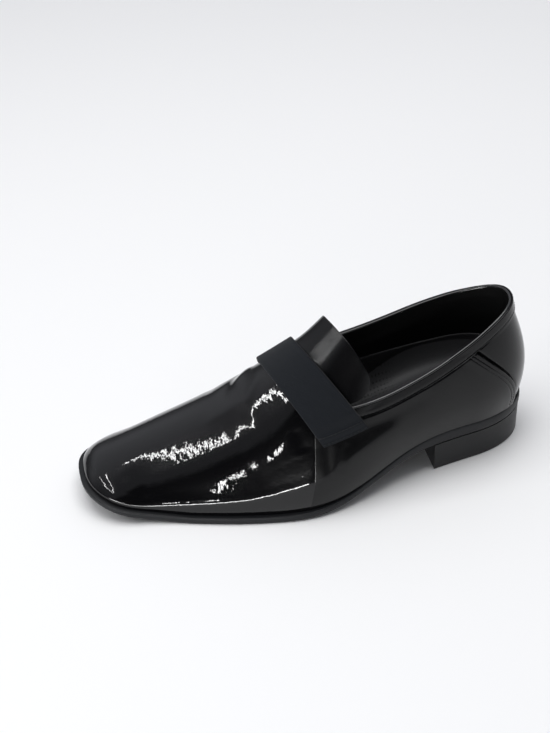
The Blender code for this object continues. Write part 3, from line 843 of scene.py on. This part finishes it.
def make_strap(cloth):
    """Ribbed band over the instep: a sheet whose long edges roll down to the upper, thin at its ends."""
    r, u = crowd(40, 1.6), crowd(90, 1.2)
    halves = []
    for side in SIDES:
        low = strap_angle(r, side, strap_end(r, side))[:, None]
        t = low + (CREST - low) * u
        halves.append(last(strap_station(r[:, None], side, t), side, t))
    grid = np.concatenate([halves[0], halves[1][:, -2::-1]], axis=1)
    n = grid_normals(grid, UP)
    thick = PRESS_THICK + (STRAP_THICK - PRESS_THICK) * smooth(from_ends(grid, 1), 0, PRESS_LENGTH)
    roll = rounded(from_ends(grid, 0), STRAP_ROLL)
    outer = grid + n * (STRAP_LIFT + STRAP_EDGE + (thick - STRAP_EDGE) * roll)[..., None]
    points, faces = closed_grids(outer, grid + n * STRAP_LIFT)
    uv = np.stack([lengths(grid, 1), lengths(grid, 0)], -1).reshape(-1, 2)
    put("strap_cloth", points, faces, [cloth], ["strap"], uv=np.concatenate([uv, uv]))


HEM_NAMES = {LATERAL: "strap_hem_lateral", MEDIAL: "strap_hem_medial"}
# Hems sewn over the strap's ends: overlap on the strap, drop below its end, lift at the top and bottom
HEM_OVER, HEM_DROP = 0.8, 6.0
HEM_TOP, HEM_LOW = 2.0, 0.75
# Share of the strap's width left free at each side, shares of the height between which the hem slopes
HEM_INSET, HEM_SLOPE = 0.004, (0.15, 0.85)
# Length over which its sides sink, edge's lift and radius, lift of its underside
HEM_SHOULDER, HEM_EDGE, HEM_ROUND, HEM_UNDER = 3.0, 0.3, 0.7, 0.1
# Rows of stitches: distance from its upper edge and from its lower edge
HEM_ROWS = (1.2, 1.5)


def make_hem(side, cloth):
    """Strip of cloth over a strap end: it slopes from the strap's face down to the quarter by a soft step.

    Gives back the points and normals of its two rows of stitches.
    """
    across, down = crowd(60, 1.5), crowd(30, 1.5)
    r, drop = np.meshgrid(HEM_INSET + (1 - 2 * HEM_INSET) * across, down, indexing="ij")
    t = strap_angle(r, side, strap_end(r, side) + HEM_OVER - (HEM_OVER + HEM_DROP) * drop)
    grid = last(strap_station(r, side, t), side, t)
    n = grid_normals(grid, OUTWARD * side)
    sides = from_ends(grid, 0)
    sunk = 0.5 + 0.5 * smooth(sides, 0, HEM_SHOULDER)
    face = HEM_LOW + (HEM_TOP - HEM_LOW) * smooth(1 - drop, *HEM_SLOPE) * sunk
    rim = rounded(np.minimum(sides, from_ends(grid, 1)), HEM_ROUND)
    outer = grid + n * (HEM_EDGE + (face - HEM_EDGE) * rim)[..., None]
    points, faces = closed_grids(outer, grid + n * HEM_UNDER)
    fall = lengths(grid, 1)
    uv = np.stack([fall, lengths(grid, 0)], -1).reshape(-1, 2)
    put(HEM_NAMES[side], points, faces, [cloth], uv=np.concatenate([uv, uv]))
    middle = fall[len(fall) // 2]
    columns = (middle > HEM_ROWS[0]).argmax(), (middle > middle[-1] - HEM_ROWS[1]).argmax()
    return [(outer[2:-2, column], n[2:-2, column]) for column in columns]


# Tongue, between the instep's front line (0) and rear line (1): where it leaves the throat and where it ends
TONGUE_ROOT, TONGUE_END = 0.45, 1.98
# Share of its length that the free end gives up toward its sides and at its corners, power of the corners
TONGUE_CROWN, TONGUE_CORNER, CORNER_POWER = 0.15, 0.235, 14
# Side edges: height over the topline, line from which they turn inward, turn from line to line
TONGUE_CLEAR, TAPER_START, TONGUE_TAPER = 1.5, 0.9, 0.10
# Rise of the free end off the last, and its power
TONGUE_RISE, RISE_POWER = 4.0, 1.4
# Depth of the inner face in the middle and at the edges, radius of the edges
TONGUE_THICK, TONGUE_EDGE, TONGUE_ROLL = 2.0, 1.1, 0.8
# Power by which the grid lines crowd toward the edges
TONGUE_CROWD = 1.4


def tongue_station(r, side, t):
    """Station of the tongue's lines: along the throat at the root, in the strap's planes behind it."""
    turn = np.clip((r - TONGUE_ROOT) / (1 - TONGUE_ROOT), 0, 1)
    return climb(between(r), t) * (1 - turn) + strap_station(r, side, t) * turn


def make_tongue(patent, lining):
    """Patent tongue: goes on from the throat along the last's form, lifts off it and ends free."""
    v = np.linspace(-1, 1, 121)
    v = np.sign(v) * (1 - (1 - np.abs(v)) ** TONGUE_CROWD)
    u = 1 - (1 - np.linspace(0, 1, 70)) ** TONGUE_CROWD
    end = TONGUE_END * (1 - TONGUE_CROWN * v ** 2 - TONGUE_CORNER * np.abs(v) ** CORNER_POWER)
    r = TONGUE_ROOT + u[:, None] * (end - TONGUE_ROOT)
    flat = r.ravel()
    halves = []
    for side in SIDES:
        over = height_of(TOPLINE, side, TONGUE_CLEAR)
        low = angle_at(lambda t: tongue_station(flat, side, t), side, over, flat.size)
        low = (low + TONGUE_TAPER * np.maximum(flat - TAPER_START, 0)).reshape(r.shape)
        t = CREST - np.abs(v) * (CREST - low)
        halves.append(last(tongue_station(r, side, t), side, t))
    grid = np.where((v <= 0)[None, :, None], *halves)
    n = grid_normals(grid, UP)
    grid = grid + n * (TONGUE_RISE * np.maximum(r - 1, 0) ** RISE_POWER * (1 - v ** 2))[..., None]
    run = lengths(grid, 0)
    roll = rounded(np.minimum(run[-1:] - run, from_ends(grid, 1)), TONGUE_ROLL)
    outer = grid + n * (-TONGUE_ROLL + TONGUE_ROLL * roll)[..., None]
    inner = grid - n * (TONGUE_EDGE + (TONGUE_THICK - TONGUE_EDGE) * roll)[..., None]
    points, faces = closed_grids(outer, inner)
    kinds = lined((len(u) - 1) * (len(v) - 1), faces)
    put("tongue_leather", points, faces, [patent, lining], ["tongue"], face_mat=kinds)


# Where the outline closes, its first and last stations keep this far from the very end
TIP = 1e-7
# Sections of the sole's edge and of the heel's wall, from the underside up: inset, share of the height
SOLE_PROFILE = (
    (2.6, 0.0), (1.2, 0.0), (0.7, 0.04), (0.32, 0.14), (0.08, 0.3), (0.0, 0.5), (0.0, 0.8), (0.1, 0.92),
    (0.35, 0.99), (0.8, 1.0), (4.0, 1.0))
HEEL_PROFILE = ((2.0, 0.0), (0.7, 0.0), (0.22, 0.02), (0.0, 0.06), (-0.2, 0.35), (-0.5, 0.75), (-0.7, 1.0))
# Power by which the heel's stations crowd toward its back
HEEL_CROWD = 1.3


def ring_solid(x, profile, low, top):
    """Closed solid over stations x: each side follows a profile of (inset, share of the height)."""
    sides = []
    for side in SIDES:
        columns = [(*edge(x, side, inset), low + (top - low) * share) for inset, share in profile]
        sides.append(np.array(columns).transpose(2, 0, 1))
    rings = np.concatenate([sides[0], sides[1][:, ::-1]], axis=1)
    index = numbered(rings)
    half = len(profile)
    caps = [ladder(line[:half], line[::-1][:half], turn) for line, turn in ((index[0], 1), (index[-1], -1))]
    return rings.reshape(-1, 3), np.concatenate([tube_of(index), *caps])


def make_outsole(mat):
    """Sole: at each station a flat slab with rounded edges, from the sole's underside to its top."""
    x = np.clip(stations(46, 1.6), BACK_X + TIP, TOE_X - TIP)
    points, faces = ring_solid(x, SOLE_PROFILE, sole_low(x), sole_top(x))
    put("sole_slab", points, faces, [mat], ["outsole"])


def make_heel(mat):
    """Heel block: the sole's outline set in a little, from the floor to the sole, with a straight breast."""
    x = BACK_X + (BREAST_X - BACK_X) * (1 - np.sin(np.linspace(0, CREST, 60))) ** HEEL_CROWD
    x = np.maximum(x, BACK_X + TIP)
    profile = [(HEEL_INSET + inset, share) for inset, share in HEEL_PROFILE]
    points, faces = ring_solid(x, profile, np.zeros_like(x), sole_low(x) - GAP)
    put("heel_stack", points, faces, [mat], ["heel"])


# Footbed, above the sole: station, thickness in the middle, lateral rim's height, medial rim's height
FOOTBED = np.array([
    (-145, 8.0, 18.0, 20.0), (-100, 8.0, 14.0, 22.0), (-60, 7.5, 13.0, 22.0), (-30, 7.0, 10.0, 15.0),
    (0, 6.0, 7.0, 8.0), (40, 4.0, 4.6, 5.0), (150, 3.2, 3.6, 3.6)])
# Its distance from the wall, its distance from the outline's ends, power by which its rims climb
FOOTBED_CLEAR, FOOTBED_TIP, RIM_POWER = 1.2, 0.6, 6


def make_sock(collar, sock):
    """Cupped footbed whose rims climb as a power of the share across, and the flange of the same leather."""
    x = np.clip(stations(30, 1.6), BACK_X + FOOTBED_TIP, TOE_X - FOOTBED_TIP)
    inset = spline(LEDGE, 1, x) + WALL + FOOTBED_CLEAR
    (lx, ly), (_, my) = edge(x, LATERAL, inset), edge(x, MEDIAL, inset)
    share = np.sin(np.linspace(-CREST, CREST, 61))
    low = (sole_top(lx) + GAP)[:, None]
    y = ((ly + my) / 2)[:, None] - share * ((ly - my) / 2)[:, None]
    middle, lateral, medial = (spline(FOOTBED, column, x)[:, None] for column in (1, 2, 3))
    top = low + middle + (np.where(share < 0, lateral, medial) - middle) * np.abs(share) ** RIM_POWER
    cover, under = (np.stack(np.broadcast_arrays(lx[:, None], y, z), -1) for z in (top, low))
    points, faces = closed_grids(cover, under)
    more, extra = closed_grids(*collar.sock_flange())
    faces, extra = outward(points, faces), outward(more, extra)
    uv = np.concatenate([points[:, :2], more[:, [0, 2]]])
    faces = np.concatenate([faces, extra + len(points)])
    put("sock", np.concatenate([points, more]), faces, [sock], ["insole"], uv=uv)


STITCH_PITCH, STITCH_LENGTH, STITCH_WIDTH, STITCH_HEIGHT = 2.5, 1.9, 0.55, 0.28
# How much of its girth a stitch loses to its ends, and how far it stands off the leather
STITCH_TAPER, STITCH_SEAT = 0.9, 0.05
# A stitch's rings of points and its sides; each end is closed by two quads over its six points
STITCH_RINGS, STITCH_SIDES = 5, 6
FIRST_CAP, FINAL_CAP = ([3, 2, 1, 0], [0, 5, 4, 3]), ([0, 1, 2, 3], [3, 4, 5, 0])


def trace(field, grid, n, value):
    """Points and normals of a grid where a field that grows along the first axis reaches a value."""
    after = np.clip((field < value).sum(0), 1, len(field) - 1)
    pick = np.arange(field.shape[1])
    a, b = field[after - 1, pick], field[after, pick]
    s = ((value - a) / (b - a))[:, None]
    return tuple(g[after - 1, pick] * (1 - s) + g[after, pick] * s for g in (grid, n))


def stitch_row(points, n):
    """Stitches along a line of points: each is a small spindle laid along the line, proud of the leather."""
    run = np.concatenate([[0], np.cumsum(np.linalg.norm(np.diff(points, axis=0), axis=1))])
    at = np.arange(STITCH_PITCH / 2, run[-1], STITCH_PITCH)
    lines = points, n, np.gradient(points, axis=0)
    place, up, along = (np.stack([np.interp(at, run, c) for c in line.T], -1) for line in lines)
    along = along / np.linalg.norm(along, axis=1, keepdims=True)
    axes = np.stack([along, np.cross(up, along), up], 1)
    u = np.linspace(-1, 1, STITCH_RINGS)[:, None]
    turn = np.linspace(0, 2 * np.pi, STITCH_SIDES, endpoint=False)
    girth = np.sqrt(1 - STITCH_TAPER * u ** 2)
    y, z = girth * np.cos(turn) * STITCH_WIDTH / 2, girth * np.sin(turn) * STITCH_HEIGHT + STITCH_SEAT
    spindle = np.stack(np.broadcast_arrays(u * STITCH_LENGTH / 2, y, z), -1)
    index = numbered(spindle)
    faces = np.concatenate([tube_of(index), index[0][np.array(FIRST_CAP)], index[-1][np.array(FINAL_CAP)]])
    spots = place[:, None] + np.einsum("lk,skj->slj", spindle.reshape(-1, 3), axes)
    starts = np.arange(len(place)) * index.size
    return spots.reshape(-1, 3), (faces + starts[:, None, None]).reshape(-1, 4)


def make_stitches(collar, hem_rows, thread):
    """All seams' stitches as one mesh: the hems, the counter seam's two rows, the band."""
    wall, band = slice(1, collar.band_column), slice(collar.band_column, None)
    near, far = slice(collar.seam_row, 0, -1), slice(collar.far_seam_row, None)
    lines = list(hem_rows)
    for gap in COUNTER_ROWS:
        for rows in (near, far):
            fields = (a[rows, wall] for a in (collar.to_seam, collar.outer, collar.n))
            lines.append(trace(*fields, gap))
    fields = (np.swapaxes(a[2:-2, band], 0, 1) for a in (collar.on_band, collar.outer, collar.n))
    lines.append(trace(*fields, BAND_ROW))
    points, faces, count = [], [], 0
    for line in lines:
        p, f = stitch_row(*line)
        points.append(p)
        faces.append(f + count)
        count += len(p)
    put("stitches", np.concatenate(points), np.concatenate(faces), [thread])


# Camera at the photograph's angle: degrees, millimetres and pixels of the 550 by 733 frame
CAMERA_AZIMUTH, CAMERA_ELEVATION, CAMERA_ROLL = 11.47, 39.49, -3.49
CAMERA_DISTANCE = 922.5
CAMERA_FOCUS = 1415.0
CAMERA_OFFSET = (31.5, 54.0)
LOOK_AT = np.array([0.0, -6.4, 30.0])
FRAME_HEIGHT = 733.0
SENSOR = 36.0


def stand(name, data, right, up, back, place):
    """New camera or light at a place, with its own three axes."""
    obj = bpy.data.objects.new(name, data)
    axes = np.stack([right, up, back, place], 1)
    obj.matrix_world = Matrix([*axes.tolist(), [0, 0, 0, 1]])
    bpy.context.scene.collection.objects.link(obj)
    return obj


def make_camera():
    """Camera turned about the shoe's outer side: azimuth from +Y toward +X, elevation, then a small roll."""
    a, e, roll = np.radians([CAMERA_AZIMUTH, CAMERA_ELEVATION, CAMERA_ROLL])
    back = np.array([np.sin(a) * np.cos(e), np.cos(a) * np.cos(e), np.sin(e)])
    right = np.array([-np.cos(a), np.sin(a), 0])
    up = np.cross(back, right)
    right, up = right * np.cos(roll) + up * np.sin(roll), up * np.cos(roll) - right * np.sin(roll)
    place = (LOOK_AT + SHIFT + back * CAMERA_DISTANCE) * MM
    camera = bpy.data.cameras.new("camera")
    camera.sensor_width = SENSOR
    camera.lens = CAMERA_FOCUS * SENSOR / FRAME_HEIGHT
    camera.shift_x = -CAMERA_OFFSET[0] / FRAME_HEIGHT
    camera.shift_y = CAMERA_OFFSET[1] / FRAME_HEIGHT
    bpy.context.scene.camera = stand("camera", camera, right, up, back, place)


# Half the floor's width, in metres
FLOOR_HALF = 6
# Lights: name, both ends in metres, height in metres, radiance
LIGHTS = (
    # Broad soft light over the shoe
    ("overhead", (-0.8, -0.1, 1.7), (0.7, -0.1, 1.7), 1.3, 3.4),
    # High narrow strips ahead of the toe, which the patent mirrors as bright lines
    ("toe_strip", (0.872, -0.393, 1.255), (0.975, -0.088, 1.245), 0.02, 36.0),
    ("ball_strip", (0.96, -0.087, 1.256), (1.043, 0.648, 0.998), 0.02, 36.0),
    ("instep_strip", (1.222, -0.354, 0.97), (1.09, 0.669, 0.971), 0.014, 44.0),
    # Low ones ahead of the toe and on the outer side
    ("side_strip", (0.82, 1.282, 0.327), (0.837, 1.247, 0.416), 0.028, 36.0),
    ("low_panel", (1.6, 0.9, 0.1), (0.95, 1.19, 0.1), 0.18, 24.0),
    ("low_strip", (0.95, 1.19, 0.03), (0.2, 1.52, 0.03), 0.05, 44.0),
)
# Studio walls: brightness by the y of the direction, and the share of it by the z. Each soft step has a
# start, an end and what it adds; the first one ends below every direction, so it is the base
WALL_STEPS = ((-2.0, -1.5, 0.62), (-0.5, 0.1, -0.36), (0.6, 0.7, -0.245))
RISE_STEPS = ((-2.0, -1.5, 0.2), (0.05, 0.5, 0.8))
WALL_TINT = (0.96, 0.98, 1.05, 1)


def area_light(name, first, final, height, radiance):
    """Rectangular light between two ends, aimed at the shoe; it lights and reflects but isn't seen."""
    first, final = np.array(first), np.array(final)
    middle, run = (first + final) / 2, final - first
    back = middle / np.linalg.norm(middle)
    side = run - back * (run @ back)
    side = side / np.linalg.norm(side)
    light = bpy.data.lights.new(name, "AREA")
    light.shape = "RECTANGLE"
    light.size, light.size_y = np.linalg.norm(run), height
    light.energy = radiance * light.size * light.size_y * math.pi
    stand(name, light, side, np.cross(back, side), back, middle).visible_camera = False


def soft_steps(tree, socket, steps):
    """Sum of smooth steps of a value, each from 0 at its start to its amount at its end."""
    total = None
    for first, final, amount in steps:
        values = {"From Min": first, "From Max": final, "To Min": 0.0, "To Max": amount}
        ramp = add_node(tree, "MapRange", values, {"Value": socket}, interpolation_type="SMOOTHSTEP")
        step = ramp.outputs["Result"]
        total = add_node(tree, "Math", links={0: total, 1: step}).outputs[0] if total else step
    return total


def make_floor():
    """Plain pale floor."""
    w = FLOOR_HALF
    mesh = bpy.data.meshes.new("floor")
    mesh.from_pydata([(-w, -w, 0), (w, -w, 0), (w, w, 0), (-w, w, 0)], [], [(0, 1, 2, 3)])
    mesh.materials.append(Finish("pale_floor", FLOOR_PALE, 0.6, {"Specular IOR Level": 0.2}).mat)
    floor = bpy.data.objects.new("floor", mesh)
    bpy.context.scene.collection.objects.link(floor)


def make_walls():
    """Studio walls: pale behind the shoe, grey beside it, black on the camera's side, dark low down.

    The camera itself sees plain white behind the floor.
    """
    world = bpy.data.worlds.new("studio")
    bpy.context.scene.world = world
    world.use_nodes = True
    tree = world.node_tree
    direction = add_node(tree, "TexCoord").outputs["Generated"]
    parts = add_node(tree, "SeparateXYZ", links={0: direction}).outputs
    wall, rise = soft_steps(tree, parts["Y"], WALL_STEPS), soft_steps(tree, parts["Z"], RISE_STEPS)
    shade = add_node(tree, "Math", links={0: wall, 1: rise}, operation="MULTIPLY").outputs[0]
    seen = add_node(tree, "LightPath").outputs["Is Camera Ray"]
    dark, white = MIX_NUMBERS
    pick = add_node(tree, "Mix", {white: 1.0}, {MIX_FACTOR: seen, dark: shade})
    background = tree.nodes["Background"].inputs
    tree.links.new(pick.outputs[0], background["Strength"])
    background["Color"].default_value = WALL_TINT


def main():
    """All pieces of the shoe, then the stage."""
    patent = patent_leather("patent_leather", coat=1.0, blur=0.012, ripples=0.085)
    tongue_patent = patent_leather("tongue_patent", coat=0.65, blur=0.2, ripples=0.02)
    lining = plain_leather("black_lining", LINING_BLACK, rough=0.6, shine=0.15)
    bead = plain_leather("collar_bead", BEAD_BLACK, rough=0.18, shine=0.8)
    thread = plain_leather("thread", THREAD_BLACK, rough=0.45, shine=0.3)
    cloth = ribbed_cloth()
    collar = Collar()
    make_vamp(patent, lining)
    make_quarters(collar, smooth_leather(), bead, lining)
    make_tongue(tongue_patent, lining)
    make_strap(cloth)
    hem_rows = make_hem(LATERAL, cloth) + make_hem(MEDIAL, cloth)
    make_stitches(collar, hem_rows, thread)
    make_outsole(rubber("sole_edge", SOLE_BLACK, rough=0.42))
    make_heel(rubber("heel_block", HEEL_BLACK, rough=0.38))
    make_sock(collar, sock_leather())
    make_camera()
    make_floor()
    for light in LIGHTS:
        area_light(*light)
    make_walls()
    bpy.context.scene.view_settings.view_transform = "Standard"


main()
